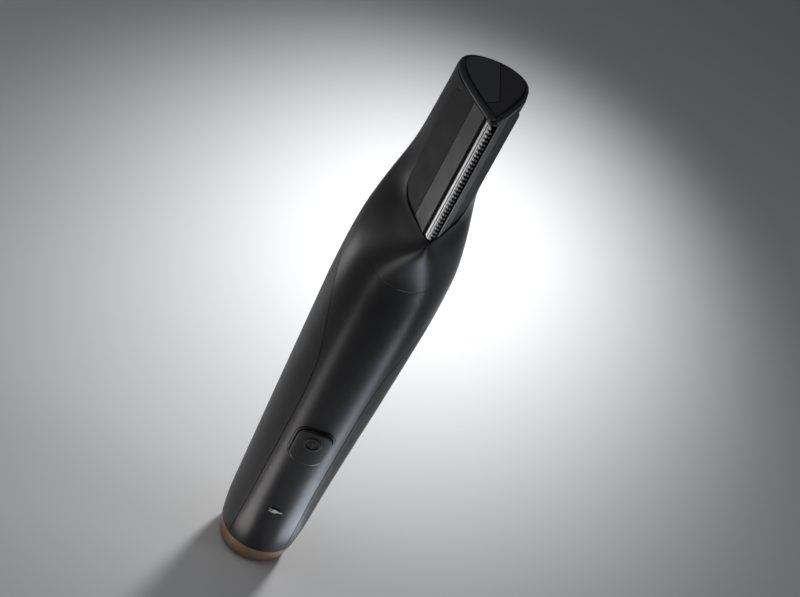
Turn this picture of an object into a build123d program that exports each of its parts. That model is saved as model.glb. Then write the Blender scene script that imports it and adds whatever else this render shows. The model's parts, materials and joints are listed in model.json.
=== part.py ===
from build123d import *

import os
from math import cos, hypot, pi, radians, sin, tan

# Body groomer, standing on its base cap. Millimetres, +Z up along the handle, -Y is the front with the blade
# and the button, +X is the viewer's right. The origin is the middle of the flat underside of the base cap.

os.makedirs("parts", exist_ok=True)

# ---- driving dimensions ------------------------------------------------------------------------------------
BASE_TOP = 7.0  # height of the bronze base cap
BASE_FOOT_R = 9.9  # radius of the base cap at its underside
WALL = 1.6  # wall of the handle shells and of the head housing
SEAM = 0.14  # gap between two shells
NECK_LOW, NECK_HIGH = 109.0, 111.5  # plate that closes the handle and carries the motor

V_HALF = radians(24.5)  # each blade-side face leans this far from the middle plane
V_APEX = -20.6  # y of the line in which the two faces would meet
TOWER_FOOT = 137.0  # the flat V faces start here
TOP_APEX = 173.0  # height of the head's top face at its front corner
TOP_SLOPE = 0.11  # the top face falls this much for each millimetre towards the back

BUTTON_Z = 55.6
BUTTON_W = 9.6
BUTTON_H = 13.4
BUTTON_PROUD = 0.9
ICON_Z = 25.5

TOOTH_PITCH = 1.07
TOOTH_COUNT = 31
COMB_FOOT = 138.0  # lower end of the toothed edge
SLOT_HALF = 1.75  # half the width of the blade slot

PANEL_THICK = 1.1  # skin panels and strips let into the V faces
PANEL_SPLIT = 9.9  # distance from the apex line at which strip and panel meet
PANEL_END = 19.0
PANEL_START = 4.3  # just beside the slot
PANEL_FOOT_R = 5.5
PANEL_ARCH = 168.0  # height at which the panel's upper edge leaves its rounded rear corner
PANEL_ARCH_R = 2.8
PANEL_RAMP = 6.0  # further up the edge leans forward by this much before it passes under the cap

MOTOR_R = 7.5
SHAFT_R = 1.0
CRANK = 1.0  # eccentricity of the drive pin
CRANK_PIN_R = 0.8
LEVER_PIVOT = (6.0, 138.0)  # y, z
LEVER_TIP = (-7.0, 138.0)

# Each station of the outer skin: height, half width, y of the widest line, back y, front y, how far the pinch of
# the two V faces stands off the section (large where it has no effect), and how sharply the skin turns there.
STATIONS = [
    (BASE_TOP, 11.5, 0.4, 12.0, -11.4, 20.0, 6.0),
    (14.0, 12.05, 0.6, 12.7, -11.5, 20.0, 6.0),
    (30.0, 12.4, 0.9, 13.3, -11.5, 20.0, 6.0),
    (50.0, 12.9, 0.7, 13.6, -12.2, 20.0, 6.0),
    (70.0, 13.4, 0.2, 13.6, -13.2, 20.0, 6.0),
    (90.0, 13.85, 0.0, 13.8, -13.9, 20.0, 6.0),
    (105.0, 14.15, 0.0, 13.9, -14.2, 15.0, 6.0),
    (112.0, 14.15, -0.2, 13.8, -14.2, 11.5, 6.0),
    (118.0, 13.95, 0.0, 13.8, -14.5, 10.0, 6.0),
    (124.0, 13.4, 0.9, 14.1, -15.7, 7.0, 6.0),
    (130.0, 12.3, 2.2, 14.4, -17.9, 4.0, 6.0),
    (134.0, 11.3, 3.4, 14.4, -20.0, 1.7, 7.5),
    (137.5, 10.3, 4.4, 14.3, -21.9, 0.3, 10.0),
    (142.0, 9.3, 5.2, 14.0, -22.4, 0.15, 12.0),
    (148.0, 8.65, 5.1, 13.2, -22.6, 0.12, 12.0),
    (156.0, 8.45, 4.4, 12.1, -22.6, 0.12, 12.0),
    (164.0, 8.4, 3.4, 11.0, -22.6, 0.12, 12.0),
    (176.0, 8.4, 1.8, 9.4, -22.6, 0.12, 12.0),
]
ROUNDNESS = 2.15  # exponent of the handle's nearly circular section
NOSE = 0.05  # rounding of the front ridge
SECTION_POINTS = 40
LEVEL_STEP = 4.0  # height between the sections that the skin is lofted through
DENSE = 720


# ---- the outer skin ----------------------------------------------------------------------------------------
def skin_radius(angle, station, inset, v_inset):
    """Distance from the station's centre to the skin, in the given direction."""
    _, half, centre, back, front, stand_off, sharp = station
    ux, uy = cos(angle), sin(angle)
    depth = (back - centre if uy > 0 else centre - front) - inset
    oval = ((abs(ux) / (half - inset)) ** ROUNDNESS + (abs(uy) / depth) ** ROUNDNESS) ** (1 / ROUNDNESS)
    face = (centre - V_APEX) * sin(V_HALF) + stand_off - v_inset
    pinch = max(0.0, hypot(ux, NOSE) * cos(V_HALF) - uy * sin(V_HALF)) / face
    return (oval**sharp + pinch**sharp) ** (-1 / sharp)


def skin_points(station, inset=0.0, v_inset=None):
    """Evenly spaced points round a station's section, starting at the back."""
    v_inset = inset if v_inset is None else v_inset
    dense = []
    for i in range(DENSE + 1):
        angle = pi / 2 + 2 * pi * i / DENSE
        reach = skin_radius(angle, station, inset, v_inset)
        dense.append((reach * cos(angle), station[2] + reach * sin(angle)))
    walked = [0.0]
    for a, b in zip(dense, dense[1:]):
        walked.append(walked[-1] + hypot(b[0] - a[0], b[1] - a[1]))
    points = []
    k = 0
    for i in range(SECTION_POINTS):
        target = walked[-1] * i / SECTION_POINTS
        while walked[k + 1] < target:
            k += 1
        share = (target - walked[k]) / (walked[k + 1] - walked[k])
        a, b = dense[k], dense[k + 1]
        points.append((a[0] + share * (b[0] - a[0]), a[1] + share * (b[1] - a[1])))
    return points


def section_edge(station, inset, v_inset=None):
    """Closed spline through a section's points, evenly parameterised so that all sections match in a loft."""
    shares = [i / SECTION_POINTS for i in range(SECTION_POINTS + 1)]
    points = [Vector(x, y) for x, y in skin_points(station, inset, v_inset)]
    return Edge.make_spline(points, periodic=True, parameters=shares)


def slope(k, item):
    """Slope of one station value at a station, flat at a turning point, so the outline never overshoots."""
    if k in (0, len(STATIONS) - 1):
        k = min(max(k, 1), len(STATIONS) - 1)
        return (STATIONS[k][item] - STATIONS[k - 1][item]) / (STATIONS[k][0] - STATIONS[k - 1][0])
    low, here, high = STATIONS[k - 1], STATIONS[k], STATIONS[k + 1]
    below = (here[item] - low[item]) / (here[0] - low[0])
    above = (high[item] - here[item]) / (high[0] - here[0])
    if below * above <= 0:
        return 0.0
    return 2 * below * above / (below + above)


def station_at(height):
    """Section data at any height, by smooth interpolation between the stations."""
    k = 0
    while k < len(STATIONS) - 2 and STATIONS[k + 1][0] < height:
        k += 1
    low, high = STATIONS[k], STATIONS[k + 1]
    step = high[0] - low[0]
    t = (height - low[0]) / step
    values = [height]
    for item in range(1, len(low)):
        start = (1 + 2 * t) * (1 - t) ** 2 * low[item] + t * (1 - t) ** 2 * step * slope(k, item)
        end = t * t * (3 - 2 * t) * high[item] + t * t * (t - 1) * step * slope(k + 1, item)
        values.append(start + end)
    return tuple(values)


def skin(inset=0.0, v_inset=None, low=BASE_TOP, high=STATIONS[-1][0]):
    """Solid inside the skin, between two heights."""
    count = max(3, round((high - low) / LEVEL_STEP) + 1)
    with BuildPart() as body:
        for i in range(count):
            height = low + (high - low) * i / (count - 1)
            with BuildSketch(Plane.XY.offset(height)):
                with BuildLine():
                    add(section_edge(station_at(height), inset, v_inset))
                make_face()
        loft()
    return body.part


# ---- cutting solids ----------------------------------------------------------------------------------------
FAR = 60.0  # reaches past the body in every direction

# side view (y, z) of the parting line between handle and head: low at the front and back, high at the sides
HEAD_PARTING = [(-26.0, 106.0), (-14.2, 117.8), (-9.7, 122.6), (-5.0, 126.4), (0.5, 128.2),
                (6.0, 126.6), (10.5, 122.8), (15.0, 117.8), (24.0, 106.0)]

# height and bearing (degrees from straight ahead) of the seam between front cover and rear housing
SIDE_SEAM = [(0.0, 46.0), (20.0, 43.0), (40.0, 40.0), (60.0, 36.8), (76.0, 35.5), (86.0, 38.5),
             (94.0, 46.0), (102.0, 57.0), (109.0, 71.0), (116.0, 88.0), (132.0, 104.0)]


def side_region(outline):
    """Everything inside an outline drawn in the side view, right through the body."""
    with BuildPart() as region:
        with BuildSketch(Plane.YZ):
            with BuildLine():
                Polyline(*outline, close=True)
            make_face()
        extrude(amount=FAR, both=True)
    return region.part


def parting_region(above, shift=0.0):
    """The side of the head parting line that belongs to the head (above) or to the handle."""
    curve = [(y, z + shift) for y, z in HEAD_PARTING]
    level = 200.0 if above else -20.0
    with BuildPart() as region:
        with BuildSketch(Plane.YZ):
            with BuildLine():
                Spline(*curve)
                Polyline(curve[-1], (curve[-1][0], level), (curve[0][0], level), curve[0])
            make_face()
        extrude(amount=FAR, both=True)
    return region.part


def top_height(y):
    """Height of the head's sloping top face."""
    return TOP_APEX - TOP_SLOPE * (y - V_APEX)


def top_slab(upper, lower):
    """The layer between two depths below the sloping top face."""
    outline = [(-FAR, top_height(-FAR) - upper), (FAR, top_height(FAR) - upper),
               (FAR, top_height(FAR) - lower), (-FAR, top_height(-FAR) - lower)]
    return side_region(outline)


def seam_wedge(extra):
    """The front sector of the handle, bounded by the side seams turned back by an extra angle."""
    with BuildPart() as wedge:
        for height, bearing in SIDE_SEAM:
            turn = radians(bearing + extra)
            side = (FAR * sin(turn), -FAR * cos(turn))
            with BuildSketch(Plane.XY.offset(height)):
                with BuildLine():
                    Polyline((0, 0), side, (FAR * 1.2, -FAR * 1.2), (-FAR * 1.2, -FAR * 1.2),
                             (-side[0], side[1]), close=True)
                make_face()
        loft()
    return wedge.part


def slab(low, high):
    """A level layer between two heights."""
    with BuildPart() as layer:
        with BuildSketch(Plane.XY.offset(low)):
            Rectangle(2 * FAR, 2 * FAR)
        extrude(amount=high - low)
    return layer.part


def export(builder, label):
    """Name a finished piece and write it."""
    builder.part.label = label
    export_step(builder.part, f"parts/{label}.step")


OUTER = skin()
INNER = skin(WALL, WALL + 0.6)
HANDLE_SIDE = parting_region(above=False, shift=-SEAM)
HEAD_SIDE = parting_region(above=True)
FRONT_SECTOR = seam_wedge(0.0)
REAR_CUT = seam_wedge(0.8)


# ---- button and charge symbol outlines ---------------------------------------------------------------------
BUTTON_CROWN = 1.2  # rise of the button's curved upper and lower ends
BUTTON_CORNER = 3.5
BUTTON_BACK = -10.4  # y of the button's rear face
BUTTON_GAP = 0.14  # running gap between button and surround
SURROUND_GROW = 0.65  # the surround's outline, beyond the button's
FAR_FRONT = -18.0
SURROUND_PROUD = 0.22
SYMBOL_PROUD = 0.18
SYMBOL_RISE = 2.1  # the switch symbol sits this far above the button's middle
SYMBOL_RING, SYMBOL_LINE, SYMBOL_BAR = 2.35, 0.45, 2.1


def facing(height, y):
    """Plane that faces the front, at a height and depth."""
    return Plane((0, y, height), x_dir=(1, 0, 0), z_dir=(0, -1, 0))


def button_block(grow, y_back, y_front=FAR_FRONT):
    """Barrel-shaped block, the button's outline grown by a margin, between two depths."""
    half_w = BUTTON_W / 2 + grow
    half_h = BUTTON_H / 2 + grow
    shoulder = half_h - BUTTON_CROWN
    with BuildPart() as block:
        with BuildSketch(facing(BUTTON_Z, y_back)) as outline:
            with BuildLine():
                Line((-half_w, -shoulder), (-half_w, shoulder))
                ThreePointArc((-half_w, shoulder), (0, half_h), (half_w, shoulder))
                Line((half_w, shoulder), (half_w, -shoulder))
                ThreePointArc((half_w, -shoulder), (0, -half_h), (-half_w, -shoulder))
            make_face()
            fillet(outline.vertices(), BUTTON_CORNER + grow)
        extrude(amount=y_back - y_front)
    return block.part


def symbol_block(y_back):
    """Raised switch symbol: a ring with an upright bar inside it."""
    with BuildPart() as block:
        with BuildSketch(facing(BUTTON_Z + SYMBOL_RISE, y_back)):
            Circle(SYMBOL_RING)
            Circle(SYMBOL_RING - SYMBOL_LINE, mode=Mode.SUBTRACT)
            Rectangle(SYMBOL_LINE, SYMBOL_BAR)
        extrude(amount=y_back - FAR_FRONT)
    return block.part


PLUG_HALF = 0.66  # half the height of the plug symbol's body
PLUG_REAR = -0.6  # x at which the prongs leave the body
PLUG_LEAD = 0.2  # half the thickness of its lead
PRONG_LENGTH, PRONG_THICK, PRONG_RISE = 1.1, 0.28, 0.38


def plug_block(grow, y_back, y_front=FAR_FRONT):
    """Block with the outline of a small plug: two prongs, a body and a tapering lead."""
    upper = [(PLUG_REAR - grow, PLUG_HALF + grow), (0.35, PLUG_HALF + grow), (1.0, PLUG_LEAD + grow + 0.04),
             (2.2 + grow, PLUG_LEAD + grow)]
    lower = [(x, -z) for x, z in reversed(upper)]
    with BuildPart() as block:
        with BuildSketch(facing(ICON_Z, y_back)):
            with BuildLine():
                Polyline(*upper, *lower, close=True)
            make_face()
            with Locations((PLUG_REAR - PRONG_LENGTH / 2, 0)), GridLocations(1, 2 * PRONG_RISE, 1, 2):
                Rectangle(PRONG_LENGTH + 2 * grow, PRONG_THICK + 2 * grow)
        extrude(amount=y_back - y_front)
    return block.part


# ---- handle shells -----------------------------------------------------------------------------------------
HANDLE_FOOT = BASE_TOP + SEAM

with BuildPart() as handle_shell:
    add(OUTER)
    add(INNER, mode=Mode.SUBTRACT)
    add(HANDLE_SIDE, mode=Mode.INTERSECT)
    add(slab(HANDLE_FOOT, 140.0), mode=Mode.INTERSECT)

with BuildPart() as front_cover:
    add(handle_shell.part)
    add(FRONT_SECTOR, mode=Mode.INTERSECT)
    add(button_block(SURROUND_GROW + 0.03, -8.0), mode=Mode.SUBTRACT)
    add(plug_block(0.02, -8.0), mode=Mode.SUBTRACT)
export(front_cover, "front_cover")

with BuildPart() as rear_housing:
    add(handle_shell.part)
    add(REAR_CUT, mode=Mode.SUBTRACT)
export(rear_housing, "rear_housing")

# sealing strips behind the two side seams
STRIP_TURN = 4.0
with BuildPart() as cover_gasket:
    add(skin(WALL + 0.03, WALL + 0.63))
    add(skin(WALL + 0.7, WALL + 1.3), mode=Mode.SUBTRACT)
    add(slab(12.0, NECK_LOW - 0.4), mode=Mode.INTERSECT)
    add(seam_wedge(STRIP_TURN), mode=Mode.INTERSECT)
    add(seam_wedge(-STRIP_TURN), mode=Mode.SUBTRACT)
export(cover_gasket, "cover_gasket")

# ---- button, its surround, seal and the charge symbol ------------------------------------------------------
THUMB_LOW, THUMB_HIGH = 36.0, 76.0  # stretch of skin around the button
BUTTON_SKIN = skin(-BUTTON_PROUD, low=THUMB_LOW, high=THUMB_HIGH)
SYMBOL_SKIN = skin(-BUTTON_PROUD - SYMBOL_PROUD, low=THUMB_LOW, high=THUMB_HIGH)
STEM_R = 1.5
STEM_END = -9.0
SEAL_FRONT = -9.5
SEAL_BACK = -9.1

with BuildPart() as button_blank:
    add(button_block(0.0, BUTTON_BACK))
    add(BUTTON_SKIN, mode=Mode.INTERSECT)
    fillet(button_blank.faces().sort_by(Axis.Y)[0].edges(), 0.45)

with BuildPart() as raised_symbol:
    add(symbol_block(-12.0))
    add(SYMBOL_SKIN, mode=Mode.INTERSECT)

with BuildPart() as power_button:
    add(button_blank.part)
    add(raised_symbol.part)
    with BuildSketch(facing(BUTTON_Z, BUTTON_BACK)):
        Circle(STEM_R)
    extrude(amount=BUTTON_BACK - STEM_END)
export(power_button, "power_button")

with BuildPart() as button_surround:
    add(button_block(SURROUND_GROW, -9.9))
    add(skin(-SURROUND_PROUD, low=THUMB_LOW, high=THUMB_HIGH), mode=Mode.INTERSECT)
    add(button_block(BUTTON_GAP, -8.0), mode=Mode.SUBTRACT)
export(button_surround, "button_surround")

with BuildPart() as button_seal:
    add(button_block(0.1, SEAL_BACK, SEAL_FRONT))
    with BuildSketch(facing(BUTTON_Z, SEAL_BACK)):
        Circle(STEM_R + 0.2)
    extrude(amount=SEAL_BACK - SEAL_FRONT, mode=Mode.SUBTRACT)
export(button_seal, "button_seal")

with BuildPart() as charge_symbol:
    add(plug_block(0.0, -9.0))
    add(skin(-0.03, high=ICON_Z + 14.5), mode=Mode.INTERSECT)
    add(skin(WALL, high=ICON_Z + 14.5), mode=Mode.SUBTRACT)
export(charge_symbol, "charge_symbol")

# ---- base cap, inlet and seal ------------------------------------------------------------------------------
FLOOR = 2.2
CAP_WALL = 2.6
COLLAR_TOP = 10.4
SEAL_LOW, SEAL_HIGH = 8.0, 9.2
COLLAR_SKIN = BASE_TOP + 15.0  # the collar follows this much of the skin
INLET_W, INLET_D = 11.0, 7.0
RECESS_W, RECESS_D, RECESS_DEEP = 8.6, 5.0, 10.5
INLET_FOOT = 0.3
INLET_TOP = 13.0
PIN_R = 0.75
PIN_GAP = 4.2
PIN_FOOT = 5.6

# the cap's own stations: underside, belly and upper edge
CAP_STATIONS = [(0.0, BASE_FOOT_R, 0.0, BASE_FOOT_R, -BASE_FOOT_R, 20.0, 6.0),
                (3.2, 10.9, 0.15, 11.1, -10.8, 20.0, 6.0),
                STATIONS[0]]
CAP_FILLET = 1.6


def cap_solid(inset):
    """Solid inside the base cap's skin."""
    with BuildPart() as body:
        for station in CAP_STATIONS:
            with BuildSketch(Plane.XY.offset(station[0])):
                with BuildLine():
                    add(section_edge(station, inset))
                make_face()
        loft()
    return body.part


def inlet_prism(grow, low, high):
    """Stadium-shaped upright prism on the inlet's outline, grown by a margin."""
    with BuildPart() as prism:
        with BuildSketch(Plane.XY.offset(low)):
            SlotOverall(INLET_W + 2 * grow, INLET_D + 2 * grow)
        extrude(amount=high - low)
    return prism.part


with BuildPart() as cap_hollow:
    add(cap_solid(CAP_WALL))
    add(slab(FLOOR, 20.0), mode=Mode.INTERSECT)

with BuildPart() as cap_collar:
    add(skin(WALL + 0.08, high=COLLAR_SKIN))
    add(skin(CAP_WALL, high=COLLAR_SKIN), mode=Mode.SUBTRACT)
    add(slab(BASE_TOP, COLLAR_TOP), mode=Mode.INTERSECT)

with BuildPart() as seal_ring:
    add(skin(WALL + 0.03, high=COLLAR_SKIN))
    add(skin(WALL + 0.6, high=COLLAR_SKIN), mode=Mode.SUBTRACT)
    add(slab(SEAL_LOW, SEAL_HIGH), mode=Mode.INTERSECT)
export(seal_ring, "base_seal")

with BuildPart() as base_cap:
    add(cap_solid(0.0))
    fillet(base_cap.faces().sort_by(Axis.Z)[0].edges(), CAP_FILLET)
    add(cap_hollow.part, mode=Mode.SUBTRACT)
    add(cap_collar.part)
    add(seal_ring.part, mode=Mode.SUBTRACT)
    add(inlet_prism(0.05, -1.0, 5.0), mode=Mode.SUBTRACT)
export(base_cap, "base_cap")

with BuildPart() as charge_inlet:
    add(inlet_prism(0.0, INLET_FOOT, INLET_TOP))
    with BuildSketch(Plane.XY.offset(INLET_FOOT)):
        SlotOverall(RECESS_W, RECESS_D)
    extrude(amount=RECESS_DEEP, mode=Mode.SUBTRACT)
    with BuildSketch(Plane.XY.offset(INLET_FOOT)):
        with GridLocations(PIN_GAP, 1, 2, 1):
            Circle(PIN_R)
    extrude(amount=INLET_TOP, mode=Mode.SUBTRACT)
export(charge_inlet, "charge_inlet")

with BuildPart() as charge_pins:
    with BuildSketch(Plane.XY.offset(PIN_FOOT)):
        with GridLocations(PIN_GAP, 1, 2, 1):
            Circle(PIN_R)
    extrude(amount=INLET_TOP + 1.5 - PIN_FOOT)
    chamfer(charge_pins.faces().group_by(Axis.Z)[0].edges(), 0.2)
export(charge_pins, "charge_pins")

# ---- chassis, battery, motor and electronics ---------------------------------------------------------------
BATTERY_R = 7.0
BATTERY_Y = 3.6
BATTERY_LOW, BATTERY_HIGH = 20.0, 70.0
TAB_THICK = 0.4
MOTOR_LOW, MOTOR_HIGH = 82.5, 108.0
CHASSIS_LOW, CHASSIS_MID, CHASSIS_HIGH = 15.5, 74.0, 107.6
CRADLE_R = 8.4
BOARD_Y = -6.6  # front face of the circuit board
BOARD_THICK = 1.0
BOARD_W = 12.6
BOARD_LOW, BOARD_HIGH = 18.0, 72.0
SWITCH_FRONT = -8.3
SWITCH_W, SWITCH_THICK, PLUNGER_R = 4.6, 1.1, 1.1
LAMP_W, LAMP_H, LAMP_THICK = 1.6, 0.9, 0.7
GUIDE_W, GUIDE_H = 3.0, 1.4
TAB_W, TAB_D = 8.0, 5.0
SPINE_W, SPINE_D = 14.0, 1.4  # rib of the chassis behind the circuit board
SCREW_X = 4.5

with BuildPart() as chassis:
    with BuildSketch(Plane.XY.offset(CHASSIS_LOW)):
        with Locations((0, BATTERY_Y)):
            Circle(CRADLE_R)
        with Locations((0, BOARD_Y + BOARD_THICK + 0.8)):
            Rectangle(SPINE_W, SPINE_D)
    extrude(amount=CHASSIS_MID - CHASSIS_LOW)
    with BuildSketch(Plane.XY.offset(CHASSIS_MID)):
        Circle(MOTOR_R + 1.2)
    extrude(amount=CHASSIS_HIGH - CHASSIS_MID)
    add(skin(WALL + 0.9, WALL + 1.5), mode=Mode.INTERSECT)
    with BuildSketch(Plane.XY.offset(BATTERY_LOW - TAB_THICK)):
        with Locations((0, BATTERY_Y)):
            Circle(BATTERY_R + 0.1)
    extrude(amount=BATTERY_HIGH - BATTERY_LOW + 2 * TAB_THICK, mode=Mode.SUBTRACT)
    with BuildSketch(Plane.XY.offset(MOTOR_LOW)):
        Circle(MOTOR_R + 0.05)
    extrude(amount=CHASSIS_HIGH, mode=Mode.SUBTRACT)
export(chassis, "chassis")

with BuildPart() as battery:
    with BuildSketch(Plane.XY.offset(BATTERY_LOW)):
        with Locations((0, BATTERY_Y)):
            Circle(BATTERY_R)
    extrude(amount=BATTERY_HIGH - BATTERY_LOW)
    fillet(battery.edges(), 0.6)
export(battery, "battery")

with BuildPart() as battery_tabs:
    for height in (BATTERY_LOW - TAB_THICK, BATTERY_HIGH):
        with BuildSketch(Plane.XY.offset(height)):
            with Locations((0, BATTERY_Y)):
                Rectangle(TAB_W, TAB_D)
        extrude(amount=TAB_THICK)
export(battery_tabs, "battery_tabs")

with BuildPart() as circuit_board:
    with BuildSketch(facing((BOARD_LOW + BOARD_HIGH) / 2, BOARD_Y + BOARD_THICK)):
        RectangleRounded(BOARD_W, BOARD_HIGH - BOARD_LOW, 1.0)
    extrude(amount=BOARD_THICK)
export(circuit_board, "circuit_board")

with BuildPart() as tact_switch:
    with BuildSketch(facing(BUTTON_Z, BOARD_Y)):
        Rectangle(SWITCH_W, SWITCH_W)
    extrude(amount=SWITCH_THICK)
    with BuildSketch(facing(BUTTON_Z, BOARD_Y - SWITCH_THICK)):
        Circle(PLUNGER_R)
    extrude(amount=BOARD_Y - SWITCH_THICK - SWITCH_FRONT)
export(tact_switch, "tact_switch")

with BuildPart() as indicator_lamp:
    with BuildSketch(facing(ICON_Z, BOARD_Y)):
        Rectangle(LAMP_W, LAMP_H)
    extrude(amount=LAMP_THICK)
export(indicator_lamp, "indicator_lamp")

with BuildPart() as light_guide:
    with BuildSketch(facing(ICON_Z, BOARD_Y - LAMP_THICK - 0.05)):
        Rectangle(GUIDE_W, GUIDE_H)
    extrude(amount=FAR)
    add(skin(WALL + 0.05, high=ICON_Z + 14.5), mode=Mode.INTERSECT)
export(light_guide, "light_guide")

# ---- motor and neck ----------------------------------------------------------------------------------------
SHAFT_TOP = 117.6
CRANK_LOW, CRANK_HIGH = 116.0, 118.8
CRANK_R = 2.6
CRANK_PIN_TOP = 123.6
SPIGOT_R, SPIGOT_BORE = 8.0, 6.4
SPIGOT_TOP = 124.0
SHAFT_SEAL_R = 2.8
SCREW_R = 0.9
SCREW_HEAD_R, SCREW_HEAD_THICK = 1.6, 1.0
MOTOR_BOSS_R, MOTOR_BOSS_THICK = 3.0, 0.9
MOTOR_BORE_DEEP = 3.0  # depth of the shaft bore and the screw holes in the motor's front plate
SEAL_THICK = 3.2
RING_R, RING_Z = 0.42, 114.4  # section radius and height of the sealing ring on the spigot

with BuildPart() as motor:
    with BuildSketch(Plane.XY.offset(MOTOR_LOW)):
        Circle(MOTOR_R)
    extrude(amount=MOTOR_HIGH - MOTOR_LOW)
    fillet(motor.edges(), 0.7)
    with BuildSketch(Plane.XY.offset(MOTOR_HIGH)):
        Circle(MOTOR_BOSS_R)
    extrude(amount=MOTOR_BOSS_THICK)
    with BuildSketch(Plane.XY.offset(MOTOR_HIGH - MOTOR_BORE_DEEP)):
        Circle(SHAFT_R + 0.06)
    extrude(amount=2 * MOTOR_BORE_DEEP, mode=Mode.SUBTRACT)
    with BuildSketch(Plane.XY.offset(MOTOR_HIGH - MOTOR_BORE_DEEP)):
        with GridLocations(2 * SCREW_X, 1, 2, 1):
            Circle(SCREW_R)
    extrude(amount=2 * MOTOR_BORE_DEEP, mode=Mode.SUBTRACT)
export(motor, "motor")

with BuildPart() as motor_shaft:
    with BuildSketch(Plane.XY.offset(MOTOR_HIGH - 2.8)):
        Circle(SHAFT_R)
    extrude(amount=SHAFT_TOP - MOTOR_HIGH + 2.8)
    with BuildSketch(Plane.XY.offset(CRANK_LOW)):
        Circle(CRANK_R)
    extrude(amount=CRANK_HIGH - CRANK_LOW)
    with BuildSketch(Plane.XY.offset(CRANK_HIGH)):
        with Locations((CRANK, 0)):
            Circle(CRANK_PIN_R)
    extrude(amount=CRANK_PIN_TOP - CRANK_HIGH)
export(motor_shaft, "motor_shaft")

with BuildPart() as neck_mount:
    add(skin(WALL + 0.1, WALL + 0.7, low=92.0, high=132.0))
    add(slab(NECK_LOW, NECK_HIGH), mode=Mode.INTERSECT)
    with BuildSketch(Plane.XY.offset(NECK_HIGH)):
        Circle(SPIGOT_R)
        Circle(SPIGOT_BORE, mode=Mode.SUBTRACT)
    extrude(amount=SPIGOT_TOP - NECK_HIGH)
    fillet(neck_mount.edges().filter_by(GeomType.CIRCLE).sort_by(Axis.Z)[-1:], 0.5)
    with BuildSketch(Plane.XY.offset(NECK_LOW)):
        Circle(SHAFT_SEAL_R + 0.05)
        with GridLocations(2 * SCREW_X, 1, 2, 1):
            Circle(SCREW_R + 0.1)
    extrude(amount=NECK_HIGH - NECK_LOW, mode=Mode.SUBTRACT)
export(neck_mount, "neck_mount")

with BuildPart() as motor_screws:
    with BuildSketch(Plane.XY.offset(MOTOR_HIGH - 2.9)):
        with GridLocations(2 * SCREW_X, 1, 2, 1):
            Circle(SCREW_R - 0.02)
    extrude(amount=NECK_HIGH - MOTOR_HIGH + 2.9)
    with BuildSketch(Plane.XY.offset(NECK_HIGH)):
        with GridLocations(2 * SCREW_X, 1, 2, 1):
            Circle(SCREW_HEAD_R)
    extrude(amount=SCREW_HEAD_THICK)
export(motor_screws, "motor_screws")

with BuildPart() as shaft_seal:
    with BuildSketch(Plane.XY.offset(MOTOR_HIGH + 1.0)):
        Circle(SHAFT_SEAL_R)
        Circle(SHAFT_R + 0.08, mode=Mode.SUBTRACT)
    extrude(amount=SEAL_THICK)
export(shaft_seal, "shaft_seal")

with BuildPart() as neck_seal:
    with BuildSketch(Plane.XZ):
        with Locations((SPIGOT_R + RING_R, RING_Z)):
            Circle(RING_R)
    revolve(axis=Axis.Z)
export(neck_seal, "neck_seal")

# ---- head housing ------------------------------------------------------------------------------------------
CAP_THICK = 1.5
CAP_GAP = 0.15  # shadow gap under the top cap
SLOT_BACK = -11.0  # the slot is cut this far back
SLOT_REACH = 20.0
SLOT_FOOT = TOWER_FOOT + 0.3
FRAME_WALL = 0.35  # the dark frame that lines the slot
ABOVE = 200.0  # height past the top of the head
PANEL_GAP = 0.09
V_FACE = Plane((0, V_APEX, 0), x_dir=(sin(V_HALF), cos(V_HALF), 0), z_dir=(cos(V_HALF), -sin(V_HALF), 0))


def v_wedge(stand_off=0.0):
    """Solid between the two V faces, moved outward by a stand-off."""
    apex = V_APEX - stand_off / sin(V_HALF)
    reach = FAR
    with BuildPart() as wedge:
        with BuildSketch(Plane.XY.offset(100.0)):
            with BuildLine():
                Polyline((0, apex), (reach * tan(V_HALF), apex + reach),
                         (-reach * tan(V_HALF), apex + reach), close=True)
            make_face()
        extrude(amount=100.0)
    return wedge.part


def strip_block(start, end, foot, depth, proud):
    """Block on the right V face between two distances from the apex line."""
    with BuildPart() as block:
        with BuildSketch(V_FACE.offset(-depth)):
            with BuildLine():
                Polyline((end, foot), (end, ABOVE), (start, ABOVE), (start, foot), close=True)
            make_face()
        extrude(amount=depth + proud)
    return block.part


def panel_block(start, grow, depth, proud):
    """Block on the right V face on the outline of the side panel, rounded at both rear corners."""
    end = PANEL_END + grow
    foot, foot_r = TOWER_FOOT + PANEL_GAP - grow, PANEL_FOOT_R + grow
    arch, arch_r = PANEL_ARCH + grow, PANEL_ARCH_R + grow
    with BuildPart() as block:
        with BuildSketch(V_FACE.offset(-depth)):
            with BuildLine():
                RadiusArc((end - foot_r, foot), (end, foot + foot_r), -foot_r)
                Line((end, foot + foot_r), (end, arch - arch_r))
                RadiusArc((end, arch - arch_r), (end - arch_r, arch), -arch_r)
                Polyline((end - arch_r, arch), (end - arch_r - PANEL_RAMP, ABOVE), (start, ABOVE),
                         (start, foot), (end - foot_r, foot))
            make_face()
        extrude(amount=depth + proud)
    return block.part


def both_sides(part):
    """A right-hand solid together with its mirror image."""
    with BuildPart() as pair:
        add(part)
        mirror(about=Plane.YZ)
    return pair.part


def slot_prism(half, foot):
    """Upright block that fills the blade slot, open to the front and the top."""
    with BuildPart() as prism:
        with BuildSketch(Plane.XY.offset(foot)):
            with Locations((0, SLOT_BACK - SLOT_REACH / 2)):
                Rectangle(2 * half, SLOT_REACH)
        extrude(amount=FAR)
    return prism.part


HEAD_TOP = top_slab(CAP_THICK + CAP_GAP, FAR)
STRIP_POCKETS = both_sides(strip_block(0.0, PANEL_SPLIT, TOWER_FOOT, PANEL_THICK, 3.0))
PANEL_POCKETS = both_sides(panel_block(PANEL_SPLIT, PANEL_GAP, PANEL_THICK, 3.0))

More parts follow.
